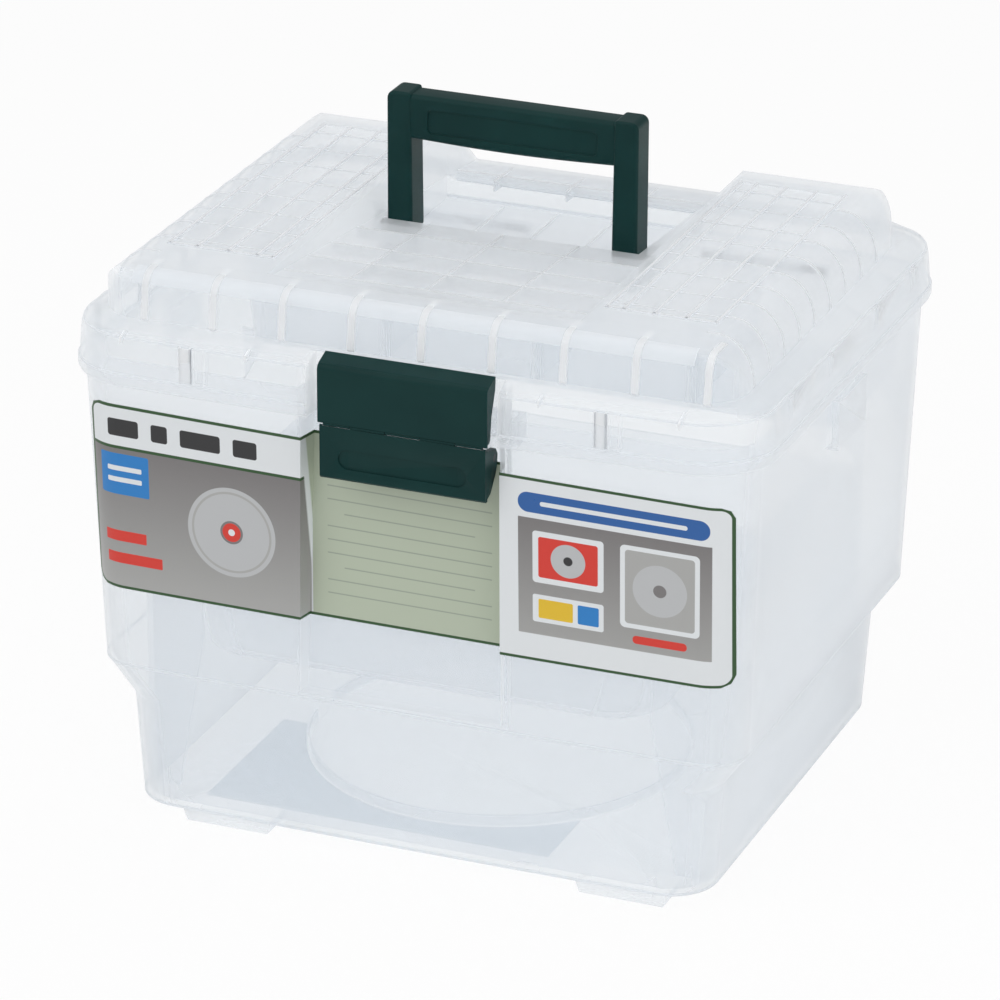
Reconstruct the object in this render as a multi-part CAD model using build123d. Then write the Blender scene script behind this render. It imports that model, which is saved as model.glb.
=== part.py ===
from build123d import *
import math
import os

# Saw blade storage case: a translucent moulded case with a hinged lid, a folding
# handle, a two-piece front latch, a saw tray over a blade well and a divided tray.
# Millimetres. +Z up, the front faces -Y, the feet stand on Z = 0, X = 0 is the middle.

# ---- driving dimensions ----
case_width = 370.0          # over the lid's rim
case_depth = 307.0
front_bow = 1.8             # the front bulges this much at its middle
front_shift = 3.5           # the latch stands this far right of the middle

# body
foot_height = 6.5
base_width = 312.5
base_depth = 272.0
base_radius = 25.0
lower_top_z = 63.5
lower_top_width = 319.5
lower_top_depth = 275.2
ledge_z = 82.7
upper_width = 347.3         # at the ledge
upper_depth = 278.2
upper_radius = 22.0
neck_z = 241.5              # where the body goes under the lid
neck_width = 357.5
neck_depth = 288.6
rim_z = 252.0
rim_radius = 30.0
body_wall = 2.5
floor_top_z = 9.5
recess_left_top = -51.0     # front recess that the latch hangs in, at its floor
recess_left_low = -56.5
recess_right = 49.5
recess_flare = 3.0
recess_y = -131.5
recess_bottom_z = 86.0
foot_spans_x = ((-125.6, -76.9), (89.6, 138.3))
foot_spans_y = ((-135.5, -113.0), (113.0, 134.5))
rest_places = (52.0, 118.0)     # ribs on the side walls under the small tray
rest_inner_x = 158.0
rest_width = 3.2
lug_inner_x = 176.0         # strap loops high on the sides
lug_outer_x = 184.8
lug_slot_x = (179.8, 182.6)
lug_front_y = -24.0
lug_back_y = 18.0
lug_rim = 3.5
lug_low_z = 211.0
lug_top_z = 237.0

# lid
lid_edge_z = 241.5
lid_radius = 38.0
band_height = 6.0
band_step = 0.8
shoulder_z = 269.5
shoulder_inset = 3.2
dome_foot_z = 273.5
dome_foot_inset = 13.5
dome_half = 169.0           # dome's side wall
dome_front_y = -139.0
dome_back_y = 122.0
dome_radius = 26.0
dome_top_z = 299.0
side_arch_width = 18.5
side_arch_height = 23.0
edge_round = 9.0
lid_wall = 2.3
deck_front_z = 297.5
deck_back_z = 283.0
deck_front_y = -117.0
deck_back_y = 113.0
deck_half_top = 83.0
deck_half_back = 68.7
pocket_half = 69.6          # well that the handle folds into
pocket_front_y = 0.5
pocket_back_y = 86.5
pocket_floor_z = 272.0
latch_bay_half = 50.0
latch_bay_y = -140.6
tread_height = 1.0
tread_rows = (88.7, 97.3, 113.1, 129.7, 145.0)
tread_front_y = -98.0
tread_back_y = 97.0
tread_width = 2.0
skirt_rib_width = 6.0
skirt_rib_low_z = 248.5
front_rib_places = (-105.0, 113.0)
side_rib_places = (-95.0, -35.0, 35.0, 95.0)

# hinge
hinge_y = 149.2
hinge_z = 236.0
barrel_radius = 4.2
hinge_pin_radius = 2.0
running_gap = 0.05
knuckle_length = 14.0
knuckle_gap = 0.4
hinge_centre_x = 84.0

# handle
handle_x = -1.2             # the handle and its well stand this far left of the middle
handle_half = 68.0
handle_leg = 13.0
handle_front_y = 1.5
handle_depth = 17.0
handle_pivot_y = 10.0
handle_pivot_z = 283.0
handle_top_z = 358.5
grip_height = 23.9
grip_belly = 1.7
trunnion_radius = 3.2
trunnion_length = 6.0
boss_wall = 3.3             # plastic round a trunnion's hole
corner_round = 4.0

# latch
latch_half = 44.8
latch_front_y = -152.0
latch_plate = 3.2
lever_bottom_z = 210.3
crease_z = 239.0
lip_front_z = 270.0
lip_back_z = 273.2
lip_back_y = -141.2
lever_pivot_y = -139.8
lever_pivot_z = 230.0
lever_pin_radius = 2.0
link_depth = 1.0           # the link pin lies this far behind the front face
link_pin_radius = 0.45
fold_relief = 0.85         # bevel each side of the crease
pin_lug_span = (36.4, 39.6)     # the two lugs' faces, from the latch's middle
hook_spans = ((-42.0, -28.0), (-9.0, 9.0), (28.0, 42.0))     # crease knuckles of each plate
lever_spans = ((-27.7, -9.3), (9.3, 27.7))
link_pin_half = 41.5
groove_length = 68.0        # finger groove across the lever
groove_width = 10.5
groove_deep = 1.0
groove_z = 222.0

# trays
saw_tray_width = 305.0
saw_tray_depth = 255.0
saw_tray_height = 130.0
saw_tray_base_z = 9.6
saw_floor_z = 93.5
saw_floor_half = 123.0
tray_wall = 2.2
tray_leg_inset = 11.0       # from the tray's front and back edge to its leg frames
tray_leg_foot_x = 136.0
tray_leg_top_x = 124.0
tray_leg_root_x = 121.0
small_tray_width = 340.0
small_tray_depth = 108.0
small_tray_height = 48.0
small_tray_top_z = 244.0
small_tray_back_y = 140.4
small_wall = 2.0
divider_places = (-85.0, 0.0, 85.0)
divider_thickness = 1.6
divider_low_y = (39.2, 133.8)       # front and back edge at the tray's floor
divider_top_y = (36.0, 137.0)
groove_rib = 1.3            # the ribs that hold a divider
groove_rib_front = (34.2, 39.2)
groove_rib_back = (133.7, 138.7)
groove_rib_gap = 2.6

# blade well on the body's floor
well_radius = 101.7
well_x = -2.5
well_y = -5.6
well_top_z = 16.0
well_wall = 2.0
notch_width = 24.0          # finger notch at the ring's left

# printed sheet on the front
sheet_thickness = 0.3
sheet_top_left_z = 228.0
sheet_top_right_z = 222.7
sheet_low_left_z = 126.5
sheet_low_right_z = 125.8
sheet_corner = 6.0
sheet_half = 171.0
sheet_gap = 0.05            # air between the sheet and the body

reach = 400.0               # longer than the case, for cutting tools


def box(x0, x1, y0, y1, z0, z1):
    """A box between two corners."""
    return Pos((x0 + x1) / 2, (y0 + y1) / 2, (z0 + z1) / 2) * Box(x1 - x0, y1 - y0, z1 - z0)


def rod(x0, x1, y, z, radius):
    """A round bar along X."""
    return Pos((x0 + x1) / 2, y, z) * Rot(0, 90, 0) * Cylinder(radius, x1 - x0)


def prism_x(points, x0, x1):
    """A side-view outline (y, z) carried along X."""
    face = make_face(Polyline(*[(x0, y, z) for y, z in points], close=True))
    return extrude(face, amount=x1 - x0, dir=(1, 0, 0))


def prism_y(points, y0, y1):
    """A front-view outline (x, z) carried along Y."""
    face = make_face(Polyline(*[(x, y0, z) for x, z in points], close=True))
    return extrude(face, amount=y1 - y0, dir=(0, 1, 0))


def plan(width, depth, radius, bow, z):
    """A rounded rectangle at height z; its front edge falls back by bow at the corners."""
    hx = width / 2
    hy = depth / 2
    r = radius
    c = r * (1 - math.sqrt(0.5))
    y0 = -hy + bow
    front = Line((-hx + r, y0, z), (hx - r, y0, z))
    if bow > 0:
        front = ThreePointArc((-hx + r, y0, z), (0, -hy, z), (hx - r, y0, z))
    edges = [
        front,
        ThreePointArc((hx - r, y0, z), (hx - c, y0 + c, z), (hx, y0 + r, z)),
        Line((hx, y0 + r, z), (hx, hy - r, z)),
        ThreePointArc((hx, hy - r, z), (hx - c, hy - c, z), (hx - r, hy, z)),
        Line((hx - r, hy, z), (-hx + r, hy, z)),
        ThreePointArc((-hx + r, hy, z), (-hx + c, hy - c, z), (-hx, hy - r, z)),
        Line((-hx, hy - r, z), (-hx, y0 + r, z)),
        ThreePointArc((-hx, y0 + r, z), (-hx + c, y0 + c, z), (-hx + r, y0, z)),
    ]
    return make_face(edges)


def stack(levels):
    """Lofts through a list of plan() arguments, one straight span at a time."""
    spans = [loft([plan(*low), plan(*high)], ruled=True) for low, high in zip(levels, levels[1:])]
    whole = spans[0]
    for span in spans[1:]:
        whole = whole + span
    return whole


def between(low, high, z):
    """The plan() arguments at height z on the straight span from low to high."""
    t = (z - low[-1]) / (high[-1] - low[-1])
    return tuple(a + (b - a) * t for a, b in zip(low, high))


def shrunk(level, inset, lift=0.0):
    """plan() arguments drawn in by inset all round and raised by lift."""
    width, depth, radius, bow, z = level
    return (width - 2 * inset, depth - 2 * inset, max(radius - inset, 1.0), bow, z + lift)


# ---- body ----
base_level = (base_width, base_depth, base_radius, 0.6, foot_height)
lower_level = (lower_top_width, lower_top_depth, base_radius, 0.9, lower_top_z)
ledge_level = (upper_width, upper_depth, upper_radius, 1.3, ledge_z)
neck_level = (neck_width, neck_depth, upper_radius, 1.4, neck_z)
rim_level = (neck_width, neck_depth, rim_radius, 1.4, rim_z)


def recess_tool(grow):
    """The front recess as a cutting solid, its walls moved into the body by grow."""
    y_back = recess_y + grow
    y_front = y_back - 16.0
    sections = []
    for left, z in ((recess_left_low, recess_bottom_z - grow), (recess_left_top, rim_z + 10)):
        x0 = left - grow
        x1 = recess_right + grow
        corners = [
            (x0 - recess_flare, y_front, z),
            (x0, y_back, z),
            (x1, y_back, z),
            (x1 + recess_flare, y_front, z),
            (x1 + recess_flare, y_front - 20, z),
            (x0 - recess_flare, y_front - 20, z),
        ]
        sections.append(make_face(Polyline(*corners, close=True)))
    x0 = front_shift - latch_bay_half - lid_wall - 1.5 - grow
    x1 = front_shift + latch_bay_half + lid_wall + 1.5 + grow
    under_lid = box(x0, x1, -170, recess_y + grow, neck_z - 1.0 - grow, rim_z + 10)
    return loft(sections, ruled=True) + under_lid


def body_outside():
    return stack([base_level, lower_level, ledge_level, neck_level, rim_level]) - recess_tool(0)


def body_inside():
    floor_level = shrunk(between(base_level, lower_level, floor_top_z), body_wall)
    levels = [
        floor_level,
        shrunk(lower_level, body_wall, 1.0),
        shrunk(ledge_level, body_wall, 1.0),
        shrunk(neck_level, body_wall),
        shrunk(rim_level, body_wall, 4.0),
    ]
    return stack(levels) - recess_tool(body_wall)


def feet():
    """Four tapered pads under the floor."""
    pads = []
    for x0, x1 in foot_spans_x:
        for y0, y1 in foot_spans_y:
            low = Pos((x0 + x1) / 2, (y0 + y1) / 2, 0) * Rectangle(x1 - x0 - 4, y1 - y0 - 2)
            high = Pos((x0 + x1) / 2, (y0 + y1) / 2, foot_height + 0.5) * Rectangle(x1 - x0, y1 - y0)
            pads.append(loft([low, high], ruled=True))
    return pads


def blade_well():
    """A raised ring that a spare blade lies in, with a finger notch at its left."""
    place = Pos(well_x, well_y, 0)
    z0 = floor_top_z - 0.5
    ring = place * Pos(0, 0, (z0 + well_top_z) / 2) * Cylinder(well_radius, well_top_z - z0)
    ring -= place * Pos(0, 0, 20) * Cylinder(well_radius - well_wall, 40)
    half_notch = notch_width / 2
    ring -= box(well_x - 130, well_x - 80, well_y - half_notch, well_y + half_notch, floor_top_z, 40)
    return ring


def tray_rests():
    """Ribs on the side walls that the small tray stands on."""
    top = small_tray_top_z - small_tray_height
    low = top - 28.0
    ribs = []
    for side in (-1, 1):
        for y in rest_places:
            outline = ((rest_inner_x, top), (176.0, top), (175.0, low), (172.5, low))
            points = [(side * x, z) for x, z in outline]
            ribs.append(prism_y(points, y - rest_width / 2, y + rest_width / 2))
    return ribs


def strap_lugs():
    """A strap loop high on each side."""
    lugs = []
    for side in (-1, 1):
        x0, x1 = sorted((side * lug_inner_x, side * lug_outer_x))
        lug = box(x0, x1, lug_front_y, lug_back_y, lug_low_z, lug_top_z)
        s0, s1 = sorted(side * x for x in lug_slot_x)
        lug -= box(s0, s1, lug_front_y + lug_rim, lug_back_y - lug_rim, lug_low_z - 6, lug_top_z + 6)
        lugs.append(lug)
    return lugs


def hinge_starts(group):
    """The left end of each of a group's five knuckles."""
    first = group * hinge_centre_x - 2.5 * knuckle_length
    return [first + i * knuckle_length for i in range(5)]


def knuckle(x0, arm, hole):
    """One hinge knuckle from x0: a barrel and the arm that carries it."""
    a = x0 + knuckle_gap / 2
    b = x0 + knuckle_length - knuckle_gap / 2
    piece = rod(a, b, hinge_y, hinge_z, barrel_radius) + arm(a, b)
    return piece - rod(a - 1, b + 1, hinge_y, hinge_z, hole)


def body_arm(a, b):
    low = hinge_z - barrel_radius
    points = [(143.2, low - 5), (hinge_y, low), (hinge_y, hinge_z + barrel_radius), (142.5, 240.2)]
    return prism_x(points, a, b)


def lid_arm(a, b):
    back = case_depth / 2
    return box(a, b, hinge_y - 0.2, back - 0.1, hinge_z, lid_edge_z + 2.5)


def latch_lugs(grow=0.0):
    """Two lugs in the recess that hold the lever's pin."""
    lugs = []
    for side in (-1, 1):
        inner = front_shift + side * (pin_lug_span[0] - grow)
        outer = front_shift + side * (pin_lug_span[1] + grow)
        x0, x1 = sorted((inner, outer))
        points = [
            (recess_y + 1, lever_pivot_z - 14.0 - grow),
            (recess_y + 1, lever_pivot_z + 11.0 + grow),
            (lever_pivot_y - 1, lever_pivot_z + 4.2),
            (lever_pivot_y - 3.8, lever_pivot_z),
            (lever_pivot_y - 1, lever_pivot_z - 4.2),
        ]
        lug = prism_x(points, x0, x1)
        lugs.append(lug - rod(x0 - 1, x1 + 1, lever_pivot_y, lever_pivot_z, lever_pin_radius))
    return lugs


def make_body():
    inside = body_inside()
    shell = body_outside() - inside
    for pad in feet():
        shell += pad
    shell += blade_well()
    for rib in tray_rests() + strap_lugs() + latch_lugs():
        shell += rib
    for group in (-1, 1):
        starts = hinge_starts(group)
        for x0 in starts[0::2]:
            shell += knuckle(x0, body_arm, hinge_pin_radius)
    return shell


# ---- lid ----
def lid_levels():
    edge = (case_width - 1.0, case_depth - 1.0, lid_radius, front_bow, lid_edge_z)
    widest = (case_width, case_depth, lid_radius, front_bow, lid_edge_z + 1.6)
    band_top = (case_width, case_depth, lid_radius, front_bow, lid_edge_z + band_height)
    skirt_foot = shrunk(band_top, band_step, 0.5)
    skirt_top = shrunk(band_top, shoulder_inset - 0.8, shoulder_z - 4.5 - band_top[-1])
    turn = shrunk(band_top, shoulder_inset + 0.6, shoulder_z - 1.2 - band_top[-1])
    shoulder = shrunk(band_top, shoulder_inset + 3.0, shoulder_z - band_top[-1])
    foot = shrunk(band_top, dome_foot_inset, dome_foot_z - band_top[-1])
    return [edge, widest, band_top, skirt_foot, skirt_top, turn, shoulder, foot]


def arch(inset):
    """The dome from the front: a flat top with wide round shoulders."""
    half = dome_half - inset
    top = dome_top_z - inset
    spring = top - side_arch_height
    flat = half - side_arch_width
    low = lid_edge_z
    left = EllipticalCenterArc((-flat, spring), side_arch_width, side_arch_height, 90, arc_size=90)
    right = EllipticalCenterArc((flat, spring), side_arch_width, side_arch_height, 0, arc_size=90)
    lines = [
        Line((half, low), (half, spring)),
        right,
        Line((flat, top), (-flat, top)),
        left,
        Line((-half, spring), (-half, low)),
        Line((-half, low), (half, low)),
    ]
    face = Plane.XZ * make_face(lines)
    return Pos(0, reach / 2, 0) * extrude(face, amount=reach)


def slice_side(inset):
    """The dome from the side: rounded front and back edges."""
    y0 = dome_front_y + inset
    y1 = dome_back_y - inset
    top = dome_top_z - inset
    r = edge_round
    c = r * (1 - math.sqrt(0.5))
    low = lid_edge_z
    lean = 2.0
    front = ThreePointArc((y0 + lean, top - r - 1), (y0 + lean + c, top - 1 - c), (y0 + lean + r, top - 1))
    back = ThreePointArc((y1 - r, top), (y1 - c, top - c), (y1, top - r))
    lines = [
        Line((y0, low), (y0 + lean, top - r - 1)),
        front,
        Line((y0 + lean + r, top - 1), (deck_front_y, top)),
        Line((deck_front_y, top), (y1 - r, top)),
        back,
        Line((y1, top - r), (y1, low)),
        Line((y1, low), (y0, low)),
    ]
    face = Plane.YZ * make_face(lines)
    return Pos(-reach / 2, 0, 0) * extrude(face, amount=reach)


def dome(inset):
    """The raised middle of the lid."""
    half = dome_half - inset
    y0 = dome_front_y + inset
    y1 = dome_back_y - inset
    middle = (y0 + y1) / 2
    plan_shape = RectangleRounded(2 * half, y1 - y0, dome_radius - inset)
    column = extrude(Pos(0, middle, lid_edge_z) * plan_shape, amount=80)
    return column & arch(inset) & slice_side(inset)


def deck_valley(lower):
    """The sloping channel between the two raised side treads, moved down by lower."""
    slope = (deck_front_z - deck_back_z) / (deck_back_y - deck_front_y)
    lean = (deck_half_top - deck_half_back) / (dome_top_z - deck_back_z)
    sections = []
    for y in (deck_front_y - 0.5, dome_back_y + 30):
        z = deck_front_z - slope * (y - deck_front_y) - lower
        half_low = deck_half_top - lean * (dome_top_z - z) + lower * 0.6
        half_high = half_low + lean * (dome_top_z + 12 - z)
        top = dome_top_z + 12
        corners = [(-half_low, y, z), (half_low, y, z), (half_high, y, top), (-half_high, y, top)]
        sections.append(make_face(Polyline(*corners, close=True)))
    return loft(sections, ruled=True)


def pocket(grow):
    """The well that the folded handle lies in, its walls moved out by grow."""
    return box(
        handle_x - pocket_half - grow,
        handle_x + pocket_half + grow,
        pocket_front_y - grow,
        pocket_back_y + grow,
        pocket_floor_z - grow,
        dome_top_z + 10,
    )


def latch_bay(grow):
    """The gap in the lid's skirt that the latch stands in."""
    x0 = front_shift - latch_bay_half - grow
    x1 = front_shift + latch_bay_half + grow
    return box(x0, x1, -170, latch_bay_y + grow, lid_edge_z - 5, dome_foot_z + 0.6)


def treads():
    """Raised strips along the two side platforms."""
    strips = []
    z0 = dome_top_z - 0.4
    z1 = dome_top_z + tread_height
    for side in (-1, 1):
        for x in tread_rows:
            a, b = sorted((side * (x - tread_width / 2), side * (x + tread_width / 2)))
            strips.append(box(a, b, tread_front_y, tread_back_y, z0, z1))
        a, b = sorted((side * tread_rows[0], side * tread_rows[-1]))
        strips.append(box(a, b, tread_front_y, tread_front_y + tread_width, z0, z1))
        strips.append(box(a, b, tread_back_y - tread_width, tread_back_y, z0, z1))
    return strips


def handle_bosses():
    """Bosses beside the pocket that take the handle's trunnions."""
    bosses = []
    for side in (-1, 1):
        x0, x1 = sorted((side * (pocket_half + 0.5), side * (pocket_half + trunnion_length + 1.5)))
        boss = rod(x0, x1, handle_pivot_y, handle_pivot_z, trunnion_radius + boss_wall)
        bosses.append(Pos(handle_x, 0, 0) * boss)
    return bosses


def trunnion_holes():
    holes = []
    for side in (-1, 1):
        x0, x1 = sorted((side * (pocket_half - 1), side * (handle_half + trunnion_length + 0.4)))
        hole = rod(x0, x1, handle_pivot_y, handle_pivot_z, trunnion_radius + running_gap)
        holes.append(Pos(handle_x, 0, 0) * hole)
    return holes


def skirt_ribs():
    """Upright channels inside the skirt that centre the lid on the body's rim."""
    ribs = []
    half = skirt_rib_width / 2
    for x in front_rib_places:
        ribs.append(box(x - half, x + half, -152.4, -147.0, skirt_rib_low_z, shoulder_z - 2))
    for side in (-1, 1):
        for y in side_rib_places:
            x0, x1 = sorted((side * 181.0, side * 183.6))
            ribs.append(box(x0, x1, y - half, y + half, skirt_rib_low_z, shoulder_z - 3))
    return ribs


def make_lid():
    levels = lid_levels()
    outer = stack(levels) + dome(0)
    inner_levels = [shrunk(level, lid_wall) for level in levels[2:]]
    first = (inner_levels[0][:4]) + (lid_edge_z - 5,)
    inner_levels = [first] + [level[:4] + (level[4] - lid_wall,) for level in inner_levels]
    inner = stack(inner_levels) + dome(lid_wall)
    outer -= deck_valley(0)
    inner -= deck_valley(lid_wall)
    outer -= pocket(0)
    inner -= pocket(lid_wall)
    outer -= latch_bay(0)
    inner -= latch_bay(lid_wall)
    lid = outer - inner
    for strip in treads():
        lid += strip
    for piece in handle_bosses():
        lid += piece & box(-90, 90, -20, 30, 260, 292)
    for hole in trunnion_holes():
        lid -= hole
    for rib in skirt_ribs():
        lid += rib
    for group in (-1, 1):
        starts = hinge_starts(group)
        for x0 in starts[1::2]:
            lid += knuckle(x0, lid_arm, hinge_pin_radius + running_gap)
    return lid


# ---- handle ----
def make_handle():
    """A bail: two square legs, a grip with a full belly and two trunnions."""
    leg_x = handle_half - handle_leg
    grip_bottom = handle_top_z - grip_height
    outer = [(-handle_half, handle_pivot_z), (-handle_half, handle_top_z), (handle_half, handle_top_z),
             (handle_half, handle_pivot_z)]
    grip_middle = (0, 0, grip_bottom - grip_belly)
    belly = ThreePointArc((-leg_x, 0, grip_bottom), grip_middle, (leg_x, 0, grip_bottom))
    frame = [Line((a[0], 0, a[1]), (b[0], 0, b[1])) for a, b in zip(outer, outer[1:])]
    frame += [
        Line((handle_half, 0, handle_pivot_z), (leg_x, 0, handle_pivot_z)),
        Line((leg_x, 0, handle_pivot_z), (leg_x, 0, grip_bottom)),
        belly,
        Line((-leg_x, 0, grip_bottom), (-leg_x, 0, handle_pivot_z)),
        Line((-leg_x, 0, handle_pivot_z), (-handle_half, 0, handle_pivot_z)),
    ]
    bail = Pos(0, handle_front_y, 0) * extrude(make_face(frame), amount=handle_depth, dir=(0, 1, 0))
    top_corners = bail.edges().filter_by(Axis.Y).sort_by(Axis.Z)[-2:]
    bail = fillet(top_corners, corner_round)
    long_edges = bail.edges().filter_by(Axis.Z).sort_by(Axis.Z)
    bail = chamfer(long_edges, 1.0)
    for side in (-1, 1):
        x0, x1 = sorted((side * leg_x, side * handle_half))
        bail += rod(x0, x1, handle_pivot_y, handle_pivot_z, handle_depth / 2)
        x0, x1 = sorted((side * (handle_half - 1), side * (handle_half + trunnion_length)))
        bail += rod(x0, x1, handle_pivot_y, handle_pivot_z, trunnion_radius)
    return Pos(handle_x, 0, 0) * bail


# ---- latch ----
link_y = latch_front_y + link_depth
plate_back = latch_front_y + latch_plate


def lever_outline():
    """The lever plate from the side, bevelled at the crease so the hook can fold over it."""
    front = latch_front_y
    low = lever_bottom_z
    return [
        (front, low + 1.2),
        (front + 1.2, low),
        (plate_back, low),
        (plate_back, crease_z - 2.0),
        (link_y - 0.1, crease_z - 2.0),
        (link_y - 0.1, crease_z - 0.1),
        (front, crease_z - fold_relief),
    ]


def hook_outline():
    """The upper plate and its lip from the side."""
    front = latch_front_y
    return [
        (front, crease_z + fold_relief),
        (front, lip_front_z - 2.5),
        (front + 0.7, lip_front_z - 0.7),
        (front + 2.5, lip_front_z + 0.4),
        (lip_back_y, lip_back_z),
        (lip_back_y, lip_back_z - 4.2),
        (lip_back_y - 1.6, lip_back_z - 4.2),
        (lip_back_y - 2.2, lip_back_z - 3.0),
        (plate_back + 1.2, lip_front_z - 2.6),
        (plate_back, lip_front_z - 4.5),
        (plate_back, crease_z + 2.0),
        (link_y - 0.1, crease_z + 2.0),
        (link_y - 0.1, crease_z + 0.1),
    ]


def lever_cheek(side):
    """A rounded cheek that reaches back to the pin."""
    x0, x1 = sorted((front_shift + side * (latch_half - 3.8), front_shift + side * (latch_half - 1.0)))
    front = latch_front_y + 1
    points = [
        (front, lever_bottom_z + 0.6),
        (front + 6.0, lever_bottom_z + 2.5),
        (lever_pivot_y + 1.5, lever_pivot_z - 9.0),
        (lever_pivot_y + 3.6, lever_pivot_z - 4.5),
        (lever_pivot_y + 4.0, lever_pivot_z + 1.0),
        (lever_pivot_y + 1.5, lever_pivot_z + 4.5),
        (front + 6.5, lever_pivot_z + 5.5),
        (front, crease_z - 2.0),
    ]
    return prism_x(points, x0, x1)


def link_knuckle(x0, x1, above):
    """A knuckle round the link pin, joined to the plate above or the plate below it."""
    r = link_depth - 0.1
    z0, z1 = sorted((crease_z, crease_z + (2.5 if above else -2.5)))
    web = box(x0, x1, link_y - 0.3, plate_back - 0.2, z0, z1)
    return rod(x0, x1, link_y, crease_z, r) + web


def span_cut(x0, x1):
    """Room in one plate for the other plate's knuckle."""
    return rod(x0 - 0.3, x1 + 0.3, link_y, crease_z, link_depth + 0.25)


def make_lever():
    half = latch_half - 1.0
    lever = prism_x(lever_outline(), front_shift - half, front_shift + half)
    for x0, x1 in hook_spans:
        lever -= span_cut(front_shift + x0, front_shift + x1)
    for side in (-1, 1):
        lever += lever_cheek(side)
    for x0, x1 in lever_spans:
        lever += link_knuckle(front_shift + x0, front_shift + x1, False)
    slot = SlotOverall(groove_length, groove_width)
    groove = Pos(front_shift, latch_front_y, groove_z) * Rot(90, 0, 0) * slot
    lever -= extrude(groove, amount=groove_deep, both=True)
    lever -= rod(-60, 60, lever_pivot_y, lever_pivot_z, lever_pin_radius + running_gap)
    lever -= rod(-60, 60, link_y, crease_z, link_pin_radius)
    return lever


def hook_flange(side):
    """A side flange, deep at the top and shallow at the crease."""
    x0, x1 = sorted((front_shift + side * (latch_half - 2.2), front_shift + side * latch_half))
    front = latch_front_y
    points = [
        (front + 1, crease_z + 3.0),
        (front + 4.0, crease_z + 3.0),
        (front + 5.5, 254.0),
        (lip_back_y - 0.3, lip_back_z - 6.5),
        (lip_back_y - 0.3, lip_back_z - 1.0),
        (front + 1, lip_front_z - 1.0),
    ]
    return prism_x(points, x0, x1)


def make_hook():
    """The upper plate of the latch, with the lip that holds the lid's shoulder down."""
    hook = prism_x(hook_outline(), front_shift - latch_half, front_shift + latch_half)
    for x0, x1 in lever_spans:
        hook -= span_cut(front_shift + x0, front_shift + x1)
    for side in (-1, 1):
        hook += hook_flange(side)
    for x0, x1 in hook_spans:
        hook += link_knuckle(front_shift + x0, front_shift + x1, True)
    hook -= rod(-60, 60, link_y, crease_z, link_pin_radius + running_gap)
    return hook


# ---- trays ----
def make_saw_tray():
    """A basin for the saw with side legs that stand on the case's floor."""
    top = saw_tray_base_z + saw_tray_height
    half_x = saw_tray_width / 2
    leg_y = saw_tray_depth / 2 - tray_leg_inset
    floor_level = (2 * saw_floor_half, saw_tray_depth - 4, 28.0, 0.0, saw_floor_z)
    top_level = (2 * saw_floor_half + 16, saw_tray_depth, 24.0, 0.0, top)
    inner_floor = shrunk(floor_level, tray_wall, tray_wall)
    inner_top = shrunk(top_level, tray_wall, 3.0)
    hollow = loft([plan(*inner_floor), plan(*inner_top)], ruled=True)
    tray = loft([plan(*floor_level), plan(*top_level)], ruled=True)
    wide_top = (saw_tray_width, saw_tray_depth, 14.0, 0.0, top - tray_wall)
    tray += loft([plan(*wide_top), plan(*shrunk(wide_top, 0.0, tray_wall))], ruled=True)
    for side in (-1, 1):
        x0, x1 = sorted((side * (half_x - tray_wall), side * half_x))
        tray += box(x0, x1, -leg_y + 2, leg_y - 2, saw_tray_base_z, top - 1)
        foot = [
            (side * tray_leg_foot_x, saw_tray_base_z),
            (side * half_x, saw_tray_base_z),
            (side * half_x, top - 1),
            (side * tray_leg_top_x, top - 1),
            (side * tray_leg_root_x, saw_floor_z + 1),
        ]
        for y0 in (-leg_y, leg_y - tray_wall):
            tray += prism_y(foot, y0, y0 + tray_wall)
    return tray - hollow


def make_small_tray():
    """The long open tray, with grooves for its dividers."""
    base_z = small_tray_top_z - small_tray_height
    middle = small_tray_back_y - small_tray_depth / 2
    low = (small_tray_width - 10, small_tray_depth - 8, 14.0, 0.0, base_z)
    high = (small_tray_width, small_tray_depth, 18.0, 0.0, small_tray_top_z)
    tray = loft([plan(*low), plan(*high)], ruled=True)
    inner_low = plan(*shrunk(low, small_wall, small_wall))
    inner_high = plan(*shrunk(high, small_wall, 1.0))
    tray -= loft([inner_low, inner_high], ruled=True)
    tray = Pos(0, middle, 0) * tray
    for x in divider_places:
        for x0 in (x - groove_rib_gap, x + groove_rib_gap - groove_rib):
            for y0, y1 in (groove_rib_front, groove_rib_back):
                tray += box(x0, x0 + groove_rib, y0 + 0.1, y1 - 0.1, base_z + 1, small_tray_top_z - 3)
    return tray


def make_divider(x):
    """A removable upright plate that stands in one pair of grooves."""
    base_z = small_tray_top_z - small_tray_height + small_wall + 0.3
    top = small_tray_top_z - 2.0
    x0 = x - divider_thickness / 2
    x1 = x + divider_thickness / 2
    low_front, low_back = divider_low_y
    top_front, top_back = divider_top_y
    points = [(low_front, base_z), (top_front, top), (top_back, top), (low_back, base_z)]
    return prism_x(points, x0, x1)


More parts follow.
